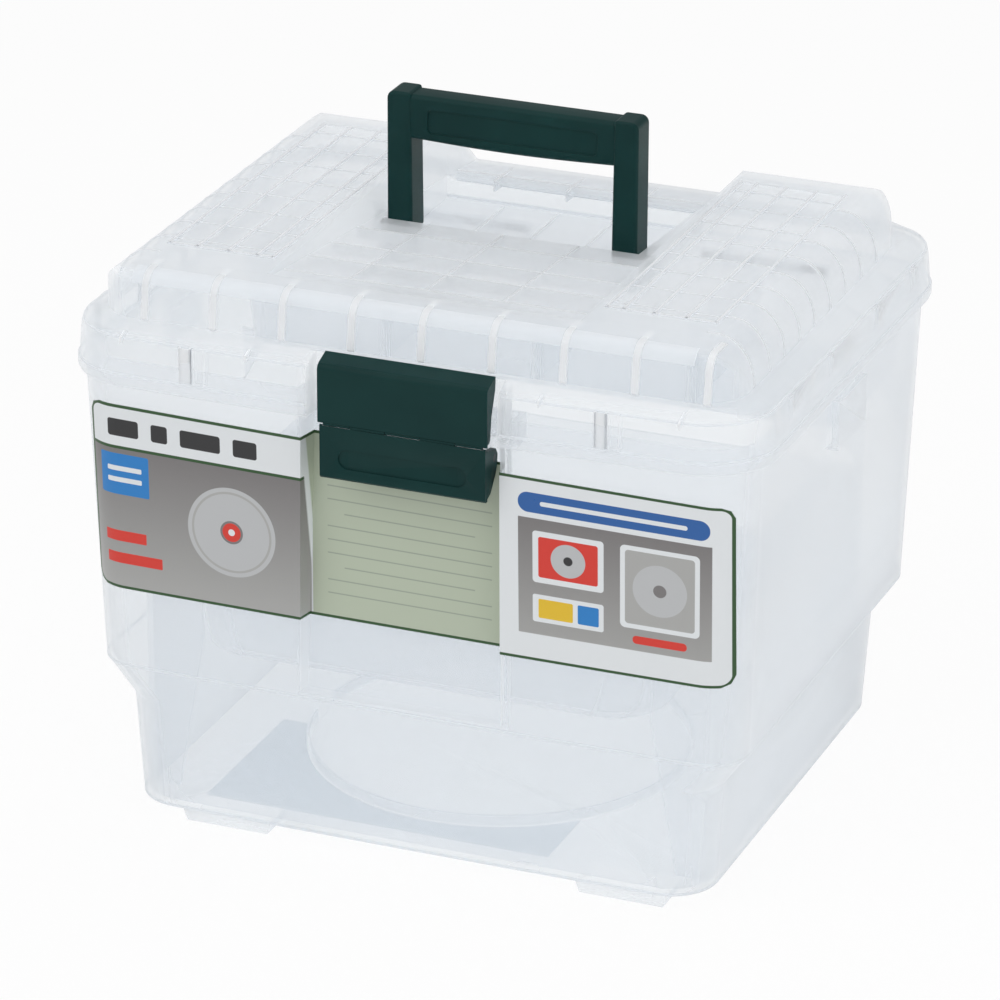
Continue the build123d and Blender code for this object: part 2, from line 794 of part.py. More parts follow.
# ---- printed sheet ----
def make_sheet():
    """A thin printed sheet that follows the body's front, its recess and both corners."""

    def skin(offset):
        low = shrunk(ledge_level, -offset)
        high = shrunk(neck_level, -offset)
        whole = loft([plan(*low), plan(*high)], ruled=True)
        return whole - recess_tool(-offset)

    sheet = skin(sheet_gap + sheet_thickness) - skin(sheet_gap)
    for lug in latch_lugs(0.4):
        sheet -= lug
    cut = sheet_corner
    small = 0.3 * cut
    corners = []
    ends = (
        (-sheet_half, sheet_low_left_z, sheet_top_left_z, 1),
        (sheet_half, sheet_low_right_z, sheet_top_right_z, -1),
    )
    for x, low, top, turn in ends:
        side = [
            (x + turn * cut, low),
            (x + turn * small, low + small),
            (x, low + cut),
            (x, top - cut),
            (x + turn * small, top - small),
            (x + turn * cut, top),
        ]
        corners += side[::turn]
    window = prism_y(corners, -160, -124)
    return sheet & window


def hinge_pin(group):
    starts = hinge_starts(group)
    return rod(starts[0], starts[0] + 5 * knuckle_length, hinge_y, hinge_z, hinge_pin_radius)


def latch_pin():
    half = latch_half - 1.0
    return rod(front_shift - half, front_shift + half, lever_pivot_y, lever_pivot_z, lever_pin_radius)


def link_pin():
    return rod(front_shift - link_pin_half, front_shift + link_pin_half, link_y, crease_z, link_pin_radius)


def build_all():
    """Every piece of the case, by its node's name."""
    nodes = {
        "body_shell": make_body(),
        "lid_shell": make_lid(),
        "handle_bail": make_handle(),
        "latch_lever": make_lever(),
        "latch_hook": make_hook(),
        "latch_pivot_pin": latch_pin(),
        "latch_link_pin": link_pin(),
        "hinge_pin_left": hinge_pin(-1),
        "hinge_pin_right": hinge_pin(1),
        "saw_tray": make_saw_tray(),
        "accessory_tray": make_small_tray(),
        "front_sheet": make_sheet(),
    }
    for name, x in zip(("divider_left", "divider_middle", "divider_right"), divider_places):
        nodes[name] = make_divider(x)
    return nodes


def main():
    os.makedirs("parts", exist_ok=True)
    for name, piece in build_all().items():
        export_step(piece, f"parts/{name}.step")


if __name__ == "__main__":
    main()
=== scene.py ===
import math

import bmesh
import bpy
from mathutils import Matrix, Vector


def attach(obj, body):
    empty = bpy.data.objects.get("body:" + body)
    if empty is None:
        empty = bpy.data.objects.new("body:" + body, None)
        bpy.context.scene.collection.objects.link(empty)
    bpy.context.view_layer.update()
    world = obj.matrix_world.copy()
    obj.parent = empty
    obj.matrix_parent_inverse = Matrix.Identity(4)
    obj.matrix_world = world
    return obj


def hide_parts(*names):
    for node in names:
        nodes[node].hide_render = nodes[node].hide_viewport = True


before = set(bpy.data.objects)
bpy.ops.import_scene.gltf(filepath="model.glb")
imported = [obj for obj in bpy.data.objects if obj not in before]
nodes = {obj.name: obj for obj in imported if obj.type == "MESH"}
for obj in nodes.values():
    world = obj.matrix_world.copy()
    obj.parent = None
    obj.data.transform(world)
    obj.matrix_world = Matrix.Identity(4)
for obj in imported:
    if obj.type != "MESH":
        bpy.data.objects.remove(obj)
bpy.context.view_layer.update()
mm = 0.001
print("case frame loaded")


# small makers: sizes in millimetres, turned into metres when the mesh is finished
def finishMesh(bm, name, material, body, smoothAngle=35, bevel=0.0, segments=2):
    bmesh.ops.scale(bm, vec=(mm, mm, mm), verts=bm.verts)
    bmesh.ops.recalc_face_normals(bm, faces=bm.faces)
    mesh = bpy.data.meshes.new(name)
    bm.to_mesh(mesh)
    bm.free()
    for poly in mesh.polygons:
        poly.use_smooth = True
    mesh.set_sharp_from_angle(angle=math.radians(smoothAngle))
    mesh.materials.append(material)
    piece = bpy.data.objects.new(name, mesh)
    bpy.context.scene.collection.objects.link(piece)
    if bevel:
        addBevel(piece, bevel, segments)
    if body:
        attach(piece, body)
    return piece


def addBevel(piece, width, segments=2, angle=40):
    soft = piece.modifiers.new("softEdges", "BEVEL")
    soft.width = width * mm
    soft.segments = segments
    soft.limit_method = "ANGLE"
    soft.angle_limit = math.radians(angle)
    soft.harden_normals = True


def pullFaces(bm, faces, shift):
    # pulls faces out of their place, with walls after them
    pulled = bmesh.ops.extrude_face_region(bm, geom=faces)["geom"]
    moved = [v for v in pulled if isinstance(v, bmesh.types.BMVert)]
    bmesh.ops.translate(bm, vec=shift, verts=moved)


def addPrism(bm, points, axis, low, high):
    # an outline pulled along one axis; its two numbers are the other two axes in order
    def place(pair, along):
        a, b = pair
        return {"x": (along, a, b), "y": (a, along, b), "z": (a, b, along)}[axis]

    cap = bm.faces.new([bm.verts.new(place(pair, low)) for pair in points])
    pullFaces(bm, [cap], place((0, 0), high - low))


def addBox(bm, x0, x1, y0, y1, z0, z1):
    made = bmesh.ops.create_cube(bm, size=1.0)["verts"]
    bmesh.ops.scale(bm, vec=(x1 - x0, y1 - y0, z1 - z0), verts=made)
    bmesh.ops.translate(bm, vec=((x0 + x1) / 2, (y0 + y1) / 2, (z0 + z1) / 2), verts=made)


def dressNode(nodeName, body, material, bevel, smoothAngle=30, merge=0.02):
    # a smooth-edged copy of a moulding stands for its plain solid
    mesh = nodes[nodeName].data.copy()
    mesh.name = nodeName + "Skin"
    bm = bmesh.new()
    bm.from_mesh(mesh)
    bmesh.ops.remove_doubles(bm, verts=bm.verts, dist=merge * mm)
    bmesh.ops.dissolve_degenerate(bm, edges=bm.edges, dist=merge * mm)
    bm.to_mesh(mesh)
    bm.free()
    for poly in mesh.polygons:
        poly.use_smooth = True
    mesh.set_sharp_from_angle(angle=math.radians(smoothAngle))
    mesh.materials.clear()
    mesh.materials.append(material)
    piece = bpy.data.objects.new(nodeName + "Skin", mesh)
    bpy.context.scene.collection.objects.link(piece)
    addBevel(piece, bevel)
    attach(piece, body)
    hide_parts(nodeName)


# finishes
def newMaterial(name):
    material = bpy.data.materials.new(name)
    material.use_nodes = True
    tree = material.node_tree
    shader = next(n for n in tree.nodes if n.type == "BSDF_PRINCIPLED")
    return material, tree, shader


def addNoise(tree, scale, detail=3.0, roughness=0.5):
    where = tree.nodes.new("ShaderNodeTexCoord")
    noise = tree.nodes.new("ShaderNodeTexNoise")
    noise.inputs["Scale"].default_value = scale
    noise.inputs["Detail"].default_value = detail
    noise.inputs["Roughness"].default_value = roughness
    tree.links.new(where.outputs["Object"], noise.inputs["Vector"])
    return noise.outputs["Fac"]


noiseSpan = (0.3, 0.7)        # a noise keeps mostly between these two values


def rampTo(tree, source, target, *tones):
    # two tones spread over a noise
    ramp = tree.nodes.new("ShaderNodeValToRGB")
    for element, position, tone in zip(ramp.color_ramp.elements, noiseSpan, tones):
        element.position = position
        element.color = (*tone, 1)
    tree.links.new(source, ramp.inputs["Fac"])
    tree.links.new(ramp.outputs["Color"], target)


def rangeTo(tree, source, target, low, high, fromLow=0.0, fromHigh=1.0):
    span = tree.nodes.new("ShaderNodeMapRange")
    span.inputs["From Min"].default_value = fromLow
    span.inputs["From Max"].default_value = fromHigh
    span.inputs["To Min"].default_value = low
    span.inputs["To Max"].default_value = high
    tree.links.new(source, span.inputs["Value"])
    tree.links.new(span.outputs["Result"], target)


def mixColors(tree, share, one, other):
    # one and other are colours or the sockets that give them
    mix = tree.nodes.new("ShaderNodeMix")
    mix.data_type = "RGBA"
    tree.links.new(share, mix.inputs["Factor"])
    for slot, color in (("A", one), ("B", other)):
        if isinstance(color, tuple):
            mix.inputs[slot].default_value = (*color, 1)
        else:
            tree.links.new(color, mix.inputs[slot])
    return mix.outputs["Result"]


def mixShaders(tree, one, other):
    mix = tree.nodes.new("ShaderNodeMixShader")
    tree.links.new(one, mix.inputs[1])
    tree.links.new(other, mix.inputs[2])
    return mix


def showShader(tree, source):
    out = next(n for n in tree.nodes if n.type == "OUTPUT_MATERIAL")
    tree.links.new(source, out.inputs["Surface"])


def addBump(tree, shader, source, strength, distance):
    bump = tree.nodes.new("ShaderNodeBump")
    bump.inputs["Strength"].default_value = strength
    bump.inputs["Distance"].default_value = distance
    tree.links.new(source, bump.inputs["Height"])
    tree.links.new(bump.outputs["Normal"], shader.inputs["Normal"])


# milky plastics: how much each covers face on and edge on, its two tones, the share that
# glows through, and the tint it gives to what lies behind it
white = (0.975, 0.985, 0.995)
offWhite = (0.955, 0.97, 0.985)
wallLook = {
    "faceOn": 0.10,
    "edgeOn": 0.80,
    "light": (0.98, 0.99, 1.0),
    "dark": (0.96, 0.975, 0.99),
    "through": 0.45,
    "tint": (0.987, 0.992, 0.997),
}
ribLook = {
    "faceOn": 0.88,
    "edgeOn": 0.97,
    "light": white,
    "dark": offWhite,
    "through": 0.15,
    "tint": white,
}
# whiter, denser strips laid along turns and rounded edges: a painted highlight
paintedHighlightLook = {
    "faceOn": 0.40,
    "edgeOn": 0.80,
    "light": white,
    "dark": offWhite,
    "through": 0.3,
    "tint": white,
}
# a greyer, darker plastic that tints what lies behind it: painted shade on the floor round the
# blade ring
floorShadeLook = {
    "faceOn": 0.10,
    "edgeOn": 0.70,
    "light": (0.90, 0.93, 0.95),
    "dark": (0.88, 0.91, 0.93),
    "through": 0.45,
    "tint": (0.935, 0.95, 0.965),
}
plasticGloss = {"roughness": 0.3, "ior": 1.49, "cloud": 14.0, "grazing": 0.35}


def milkyFinish(name, look, gloss=plasticGloss):
    # a thin white veil that glows through, denser where it is seen edge on
    material, tree, shader = newMaterial(name)
    cloud = addNoise(tree, gloss["cloud"], 1.0)
    color = mixColors(tree, cloud, look["dark"], look["light"])
    tree.links.new(color, shader.inputs["Base Color"])
    shader.inputs["Roughness"].default_value = gloss["roughness"]
    shader.inputs["IOR"].default_value = gloss["ior"]
    soft = tree.nodes.new("ShaderNodeBsdfTranslucent")
    tree.links.new(color, soft.inputs["Color"])
    solid = mixShaders(tree, shader.outputs["BSDF"], soft.outputs["BSDF"])
    solid.inputs["Fac"].default_value = look["through"]
    clear = tree.nodes.new("ShaderNodeBsdfTransparent")
    clear.inputs["Color"].default_value = (*look["tint"], 1)
    veil = mixShaders(tree, clear.outputs["BSDF"], solid.outputs["Shader"])
    grazing = tree.nodes.new("ShaderNodeLayerWeight")
    grazing.inputs["Blend"].default_value = gloss["grazing"]
    rangeTo(tree, grazing.outputs["Facing"], veil.inputs["Fac"], look["faceOn"], look["edgeOn"])
    showShader(tree, veil.outputs["Shader"])
    return material


greenLook = {
    "dark": (0.0028, 0.029, 0.028),
    "light": (0.0045, 0.037, 0.035),
    "cloud": 25.0,
    "grain": 2600.0,          # fine moulded grain
    "roughness": (0.34, 0.48),
    "specular": 0.15,
    "ior": 1.49,
    "bump": (0.12, 0.00008),  # strength, and height in metres
}


def greenFinish(name, look):
    material, tree, shader = newMaterial(name)
    cloud = addNoise(tree, look["cloud"])
    rampTo(tree, cloud, shader.inputs["Base Color"], look["dark"], look["light"])
    grain = addNoise(tree, look["grain"], 2.0)
    rangeTo(tree, grain, shader.inputs["Roughness"], *look["roughness"], *noiseSpan)
    shader.inputs["Specular IOR Level"].default_value = look["specular"]
    shader.inputs["IOR"].default_value = look["ior"]
    addBump(tree, shader, grain, *look["bump"])
    return material


steelLook = {"streaks": 400.0, "roughness": (0.25, 0.4)}


def steelFinish(name, dark, light, look=steelLook):
    material, tree, shader = newMaterial(name)
    drawn = addNoise(tree, look["streaks"])
    rampTo(tree, drawn, shader.inputs["Base Color"], dark, light)
    rangeTo(tree, drawn, shader.inputs["Roughness"], *look["roughness"])
    shader.inputs["Metallic"].default_value = 1.0
    return material


shellFinish = milkyFinish("shellPlastic", wallLook)
trayFinish = milkyFinish("trayPlastic", wallLook)
ribFinish = milkyFinish("ribPlastic", ribLook)
# painted highlight: the finish of the whiter strips along edges and turns
paintedHighlightFinish = milkyFinish("paintedHighlightPlastic", paintedHighlightLook)
# painted shade for the floor round the blade ring
floorShadeFinish = milkyFinish("floorShadePlastic", floorShadeLook)
greenPlastic = greenFinish("greenPlastic", greenLook)
pinSteel = steelFinish("pinSteel", (0.45, 0.45, 0.46), (0.62, 0.62, 0.63))
darkSteel = steelFinish("darkSteel", (0.010, 0.018, 0.018), (0.018, 0.030, 0.030))
print("finishes ready")


# printed sheet
sheetPrint = {
    "topMiddle": 225.35,      # height of the sheet's upper edge at the middle of the case
    "tilt": -0.0155,          # its fall towards the right
    "height": 99.2,
    "taper": -0.0135,         # the sheet's height falls this much per millimetre to the right
    "halfWidth": 171.0,
    "border": 1.5,
    "corner": 5.0,
    "sharpness": 5.0,         # an edge is soft over one part in this many of a millimetre
    "green": (0.018, 0.075, 0.016),
    "white": (0.80, 0.83, 0.85),
    "greyLight": (0.42, 0.42, 0.41),
    "greyDark": (0.20, 0.19, 0.19),
    "paleGreen": (0.49, 0.55, 0.43),
    "rule": (0.33, 0.38, 0.31),
    "blue": (0.012, 0.21, 0.58),
    "deepBlue": (0.014, 0.11, 0.37),
    "red": (0.70, 0.035, 0.02),
    "ink": (0.02, 0.02, 0.022),
    "steel": (0.52, 0.53, 0.54),
    "yellow": (0.80, 0.52, 0.02),
    "fades": {"leftGround": -24.0, "rightGround": -22.0},   # where the dark tone begins
    "sheen": 120.0,
    "roughness": (0.25, 0.36),
    "bump": (0.05, 0.0004),   # strength, and height in metres
}
# what is painted, in order: a colour, the middle from the case's middle and down from the
# upper edge, then half width, half height and corner radius, or one radius for a disc
sheetShapes = [
    # left panel: a picture ground under a white band with dark tabs
    ("leftGround", -112.0, -60.5, 58.0, 38.0, 0.2),
    ("green", -112.0, -22.6, 58.0, 0.8, 0.2),
    ("ink", -151.5, -12.0, 8.5, 4.6, 1.4),
    ("ink", -131.5, -12.0, 4.5, 4.6, 1.4),
    ("ink", -109.0, -12.0, 11.0, 4.6, 1.4),
    ("ink", -84.5, -12.0, 6.5, 4.6, 1.4),
    ("blue", -151.5, -37.0, 13.5, 11.0, 1.0),
    ("white", -151.5, -34.0, 9.5, 1.3, 0.6),
    ("white", -151.5, -40.0, 9.5, 1.3, 0.6),
    ("red", -152.0, -70.5, 11.5, 2.9, 0.5),
    ("red", -147.5, -82.5, 15.5, 2.9, 0.5),
    # a plain round blade with a hub
    ("steel", -93.0, -58.0, 24.0),
    ("greyLight", -93.0, -58.0, 21.8),
    ("steel", -93.0, -58.0, 20.6),
    ("greyDark", -93.0, -58.0, 6.2),
    ("red", -93.0, -58.0, 5.0),
    ("white", -93.0, -58.0, 1.8),
    # right panel: a blue bar and two framed pictures on grey
    ("deepBlue", 110.5, -13.2, 49.5, 5.4, 5.2),
    ("white", 110.5, -13.2, 38.0, 1.2, 1.1),
    ("rightGround", 111.0, -53.0, 50.0, 31.5, 0.3),
    ("white", 87.0, -42.0, 18.5, 14.0, 1.8),
    ("red", 87.0, -42.0, 15.5, 11.0, 1.2),
    ("steel", 87.0, -42.0, 9.0),
    ("ink", 87.0, -42.0, 2.4),
    ("white", 87.0, -70.0, 18.5, 7.5, 1.2),
    ("yellow", 80.5, -70.0, 9.0, 5.2, 0.8),
    ("blue", 97.5, -70.0, 5.5, 5.2, 0.8),
    ("white", 134.5, -50.0, 20.5, 22.5, 2.6),
    ("greyLight", 134.5, -50.0, 18.0, 20.0, 1.8),
    ("steel", 134.5, -50.0, 14.0),
    ("greyDark", 134.5, -50.0, 3.4),
    ("red", 134.5, -78.5, 14.0, 2.2, 2.0),
    # middle panel: a pale ground, ruled below
    ("paleGreen", -1.7, -49.4, 51.5, 48.4, 0.2),
]
sheetRules = {
    "count": 9,
    "middle": -1.0,
    "first": -28.0,
    "pitch": 7.2,
    "half": 44.0,
    "short": 35.0,            # half the length of every fourth rule
    "thin": 0.32,
    "corner": 0.1,
}


def addRules(shapes, r):
    for row in range(r["count"]):
        half = r["short"] if row % 4 == 2 else r["half"]
        down = r["first"] - r["pitch"] * row
        shapes.append(("rule", r["middle"], down, half, r["thin"], r["corner"]))


def sheetFinish(name, look, shapes):
    material, tree, shader = newMaterial(name)
    where = tree.nodes.new("ShaderNodeTexCoord")
    split = tree.nodes.new("ShaderNodeSeparateXYZ")
    tree.links.new(where.outputs["Object"], split.inputs["Vector"])

    def calc(kind, *values):
        node = tree.nodes.new("ShaderNodeMath")
        node.operation = kind
        for i, value in enumerate(values):
            if isinstance(value, (int, float)):
                node.inputs[i].default_value = value
            else:
                tree.links.new(value, node.inputs[i])
        return node.outputs["Value"]

    # u runs across the sheet and v down from its upper edge, both in millimetres
    u = calc("MULTIPLY", split.outputs["X"], 1000.0)
    height = calc("MULTIPLY", split.outputs["Z"], 1000.0)
    upper = calc("MULTIPLY_ADD", u, look["tilt"], look["topMiddle"])
    tall = calc("MULTIPLY_ADD", u, look["taper"], look["height"])
    v = calc("MULTIPLY", calc("DIVIDE", calc("SUBTRACT", height, upper), tall), look["height"])

    def length(a, b):
        return calc("SQRT", calc("ADD", calc("MULTIPLY", a, a), calc("MULTIPLY", b, b)))

    def rounded(cu, cv, hu, hv, r):
        # distance outside a rounded rectangle, negative inside
        qu = calc("SUBTRACT", calc("ABSOLUTE", calc("SUBTRACT", u, cu)), hu - r)
        qv = calc("SUBTRACT", calc("ABSOLUTE", calc("SUBTRACT", v, cv)), hv - r)
        away = length(calc("MAXIMUM", qu, 0.0), calc("MAXIMUM", qv, 0.0))
        within = calc("MINIMUM", calc("MAXIMUM", qu, qv), 0.0)
        return calc("SUBTRACT", calc("ADD", away, within), r)

    def disc(cu, cv, radius):
        return calc("SUBTRACT", length(calc("SUBTRACT", u, cu), calc("SUBTRACT", v, cv)), radius)

    def inside(distance):
        # 1 inside, 0 outside, with a soft edge
        step = calc("MAXIMUM", calc("MULTIPLY_ADD", distance, look["sharpness"], 0.5), 0.0)
        return calc("SUBTRACT", 1.0, calc("SMOOTH_MIN", step, 1.0, 0.001))

    def shade(dark):
        fade = tree.nodes.new("ShaderNodeMapRange")
        fade.inputs["From Min"].default_value = -look["height"]
        fade.inputs["From Max"].default_value = dark
        tree.links.new(v, fade.inputs["Value"])
        return mixColors(tree, fade.outputs["Result"], look["greyLight"], look["greyDark"])

    color = look["white"]
    for ink, *place in shapes:
        distance = disc(*place) if len(place) == 3 else rounded(*place)
        fresh = shade(look["fades"][ink]) if ink in look["fades"] else look[ink]
        color = mixColors(tree, inside(distance), color, fresh)
    # the border runs round everything
    full = look["height"]
    halfWide = look["halfWidth"] - look["border"]
    halfTall = full / 2 - look["border"]
    field = inside(rounded(0.0, -full / 2, halfWide, halfTall, look["corner"]))
    color = mixColors(tree, field, look["green"], color)
    tree.links.new(color, shader.inputs["Base Color"])
    sheen = addNoise(tree, look["sheen"])
    rangeTo(tree, sheen, shader.inputs["Roughness"], *look["roughness"])
    addBump(tree, shader, sheen, *look["bump"])
    return material


addRules(sheetShapes, sheetRules)
printedSheet = sheetFinish("printedSheet", sheetPrint, sheetShapes)
sheet = nodes["front_sheet"]
sheet.data.materials.clear()
sheet.data.materials.append(printedSheet)
print("printed sheet ready")


# mouldings that follow the frame's solids
dressNode("body_shell", "body", shellFinish, bevel=0.5)
dressNode("lid_shell", "lid", shellFinish, bevel=0.5)
dressNode("saw_tray", "saw_insert", trayFinish, bevel=0.4)
dressNode("accessory_tray", "parts_insert", trayFinish, bevel=0.3)
for side in ("left", "middle", "right"):
    dressNode("divider_" + side, side + "_divider", trayFinish, bevel=0.3)
dressNode("latch_lever", "lever", greenPlastic, bevel=0.6)
dressNode("latch_hook", "hook", greenPlastic, bevel=0.7)
for pin, metal in (("latch_pivot_pin", darkSteel), ("latch_link_pin", darkSteel),
                   ("hinge_pin_left", pinSteel), ("hinge_pin_right", pinSteel)):
    nodes[pin].data.materials.clear()
    nodes[pin].data.materials.append(metal)
print("mouldings dressed")


# handle
handle = {
    "middle": -1.2,           # the handle's middle across the case
    "half": 68.0,
    "leg": 13.0,
    "flare": 0.85,            # a leg is this much wider at its foot
    "front": 1.5,
    "back": 18.5,
    "pivotY": 10.0,
    "pivotZ": 283.0,
    "top": 358.4,
    "round": 4.0,
    "eyeGap": 0.05,
    "eyeShort": 0.2,
    "trunnionRadius": 3.15,
    "trunnionLong": 6.0,
    "trunnionOut": 2.9,       # the trunnion's middle lies this far outside a leg
    "gripTop": 357.3,
    "gripBottom": 333.9,
    "gripRound": 2.6,
    "gripOverlap": 1.0,       # the grip runs this far into a leg
    "belly": 1.5,
    "inset": 0.8,             # the grip lies this far behind the legs' faces
    "panelHalf": 46.0,
    "panelLow": 338.1,
    "panelHigh": 350.6,
    "panelRound": 2.5,
    "panelDeep": 1.0,
}


def roundCorner(cx, cz, radius, start, steps=6):
    turns = [math.radians(start + 90 * i / steps) for i in range(steps + 1)]
    return [(cx + radius * math.cos(t), cz + radius * math.sin(t)) for t in turns]


def makeLeg(h, side):
    bm = bmesh.new()
    outer = h["half"]
    inner = outer - h["leg"]
    points = [(inner - h["flare"], h["pivotZ"]), (outer, h["pivotZ"])]
    points += roundCorner(outer - h["round"], h["top"] - h["round"], h["round"], 0)
    points.append((inner, h["top"]))
    placed = [(h["middle"] + side * x, z) for x, z in points]
    addPrism(bm, placed, "y", h["front"], h["back"])
    finishMesh(bm, "handleLeg", greenPlastic, "handle", bevel=1.7, segments=4)


def addRound(bm, x, radius, long, h, segments):
    # a round bar that lies across the case on the handle's turning line
    turned = Matrix.Rotation(math.radians(90), 4, "Y")
    place = Matrix.Translation((x, h["pivotY"], h["pivotZ"])) @ turned
    bmesh.ops.create_cone(bm, cap_ends=True, segments=segments, radius1=radius,
                          radius2=radius, depth=long, matrix=place)


def makeEye(h, side):
    radius = (h["back"] - h["front"]) / 2 - h["eyeGap"]
    bm = bmesh.new()
    x = h["middle"] + side * (h["half"] - h["leg"] / 2)
    addRound(bm, x, radius, h["leg"] - h["eyeShort"], h, 40)
    finishMesh(bm, "handleEye", greenPlastic, "handle", bevel=0.8)
    bm = bmesh.new()
    x = h["middle"] + side * (h["half"] + h["trunnionOut"])
    addRound(bm, x, h["trunnionRadius"], h["trunnionLong"], h, 32)
    finishMesh(bm, "handleTrunnion", greenPlastic, "handle", bevel=0.4)


def sinkPanel(bm, face, h, deep):
    # draws a rounded window on a flat face and pushes it in
    level = face.verts[0].co.y
    rim = list(face.edges)
    bmesh.ops.delete(bm, geom=[face], context="FACES_ONLY")
    hx = h["panelHalf"] - h["panelRound"]
    z0 = h["panelLow"] + h["panelRound"]
    z1 = h["panelHigh"] - h["panelRound"]
    outline = []
    for cx, cz, start in ((hx, z1, 0), (-hx, z1, 90), (-hx, z0, 180), (hx, z0, 270)):
        outline += roundCorner(h["middle"] + cx, cz, h["panelRound"], start)
    panel = bm.faces.new([bm.verts.new((x, level, z)) for x, z in outline])
    bmesh.ops.triangle_fill(bm, edges=rim + list(panel.edges), use_beauty=True)
    pullFaces(bm, [panel], (0, deep, 0))
    bmesh.ops.delete(bm, geom=[panel], context="FACES_ONLY")


def makeGrip(h, steps=24):
    bm = bmesh.new()
    half = h["half"] - h["leg"] + h["gripOverlap"]
    points = [(h["middle"] - half, h["gripTop"]), (h["middle"] + half, h["gripTop"])]
    for i in range(steps + 1):
        x = half - 2 * half * i / steps
        sag = h["belly"] * math.cos(math.pi * x / (2 * half))
        points.append((h["middle"] + x, h["gripBottom"] - sag))
    y0 = h["front"] + h["inset"]
    y1 = h["back"] - h["inset"]
    addPrism(bm, points, "y", y0, y1)
    # only the edges that run along the grip are rounded
    spans = [(e, e.verts[0].co - e.verts[1].co) for e in bm.edges]
    long = [e for e, span in spans if abs(span.y) < 0.1 and abs(span.x) > 1]
    bmesh.ops.bevel(bm, geom=long, offset=h["gripRound"], segments=5, profile=0.5,
                    affect="EDGES", material=-1)
    for level, deep in ((y0, h["panelDeep"]), (y1, -h["panelDeep"])):
        flat = [f for f in bm.faces if all(abs(v.co.y - level) < 0.01 for v in f.verts)]
        sinkPanel(bm, max(flat, key=lambda f: f.calc_area()), h, deep)
    finishMesh(bm, "handleGrip", greenPlastic, "handle", bevel=0.35)


def makeHandle(h):
    for side in (-1, 1):
        makeLeg(h, side)
        makeEye(h, side)
    makeGrip(h)


makeHandle(handle)
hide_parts("handle_bail")
print("handle built")


# ribs of the dome's front, of the deck and of the handle's well, and a painted highlight band
# along the dome's rounded front edge
lidRibs = {
    "lift": 0.06,             # a rib's crest stands this far out of the wall it shows through
    "firstX": -140.0,
    "pitch": 37.0,
    "count": 9,
    "width": 3.8,
    "inward": (0.9, -0.9),    # from a strip's outer side to its inner side
    "front": ((-139.4, 274.2), (-138.4, 281.0), (-137.5, 288.4)),   # the front wall, y and z
    "frontTop": (-117.0, 298.3),
    "frontTurns": (8, 90),    # the strips follow the rounded edge over these degrees
    "frontLift": 0.25,
    "edgeMiddle": (-128.0, 288.9),   # the front edge is rounded about this line
    "edgeRadius": 9.1,
    # the painted highlight band along the front edge: its half length, its turns, and how far it
    # stands out and in
    "edgeHalf": 148.0,
    "edgeTurns": (20, 90),    # the bright band along the edge, its outer and its inner side
    "edgeLifts": (0.1, -0.8),
    "deckFront": -117.0,
    "deckBack": 113.0,
    "deckFrontZ": 297.5,
    "deckBackZ": 283.0,
    "deckHalf": 81.0,         # half the deck's width at its front, and how fast it narrows
    "deckNarrows": 0.05,
    "deckLong": (-44.9, -4.5, 36.5),
    "deckCross": (-102.5, -75.3, -50.0, -20.3, 98.0),
    "wellFront": 0.0,
    "wellBack": 88.0,
    "wellFloor": 272.0,
    "wellEnds": (1.5, 2.5),
    "wellDeep": 1.5,
    "wellLong": (-38.4, -7.9, 22.6),
    "ribDeep": 6.0,
    "ribThick": 1.0,
}


def deckHeight(y, r):
    fall = (r["deckFrontZ"] - r["deckBackZ"]) / (r["deckBack"] - r["deckFront"])
    return r["deckFrontZ"] - fall * (y - r["deckFront"])


def frontEdge(r, first, last, lift, steps=6):
    # the dome's rounded front edge from the side, between two turns, raised by lift
    radius = r["edgeRadius"] + lift
    turns = [math.radians(first + (last - first) * i / steps) for i in range(steps + 1)]
    y, z = r["edgeMiddle"]
    return [(y - radius * math.cos(t), z + radius * math.sin(t)) for t in turns]


def thicken(outer, move):
    # closes an open outline with its own copy, moved in and down
    return outer + [(a + move[0], z + move[1]) for a, z in reversed(outer)]


def makeFrontRibs(r):
    # shallow raised strips up the dome's front wall and over its rounded edge, then a painted
    # highlight band along that edge
    outer = [*r["front"], *frontEdge(r, *r["frontTurns"], r["frontLift"]), r["frontTop"]]
    points = thicken(outer, r["inward"])
    bm = bmesh.new()
    for k in range(r["count"]):
        x = r["firstX"] + k * r["pitch"]
        addPrism(bm, points, "x", x - r["width"] / 2, x + r["width"] / 2)
    finishMesh(bm, "frontRibs", ribFinish, "lid", bevel=0.3)
    # a painted highlight: a whiter band laid along the rounded front edge
    first, last = r["edgeTurns"]
    outerLift, innerLift = r["edgeLifts"]
    points = frontEdge(r, first, last, outerLift) + frontEdge(r, last, first, innerLift)
    bm = bmesh.new()
    addPrism(bm, points, "x", -r["edgeHalf"], r["edgeHalf"])
    finishMesh(bm, "frontEdge", paintedHighlightFinish, "lid")


def addDeckRib(bm, r, x, y0, y1):
    top = [(y, deckHeight(y, r) + r["lift"]) for y in (y0, y1)]
    low = [(y, z - r["ribDeep"]) for y, z in reversed(top)]
    addPrism(bm, top + low, "x", x - r["ribThick"] / 2, x + r["ribThick"] / 2)


def makeDeckRibs(r):
    # a grid of ribs that shows through the sloping deck, and the ribs of the handle's well
    bm = bmesh.new()
    side = r["ribThick"] / 2
    for x in r["deckLong"]:
        addDeckRib(bm, r, x, r["deckCross"][0], r["wellFront"])
        addDeckRib(bm, r, x, r["wellBack"], r["deckBack"])
    for y in r["deckCross"]:
        z = deckHeight(y, r) + r["lift"]
        half = r["deckHalf"] - (y - r["deckFront"]) * r["deckNarrows"]
        addBox(bm, -half, half, y - side, y + side, z - r["ribDeep"], z)
    near, far = r["wellEnds"]
    for x in r["wellLong"]:
        addBox(bm, x - side, x + side, r["wellFront"] + near, r["wellBack"] - far,
               r["wellFloor"] - r["wellDeep"], r["wellFloor"] + r["lift"])
    finishMesh(bm, "deckRibs", ribFinish, "lid")


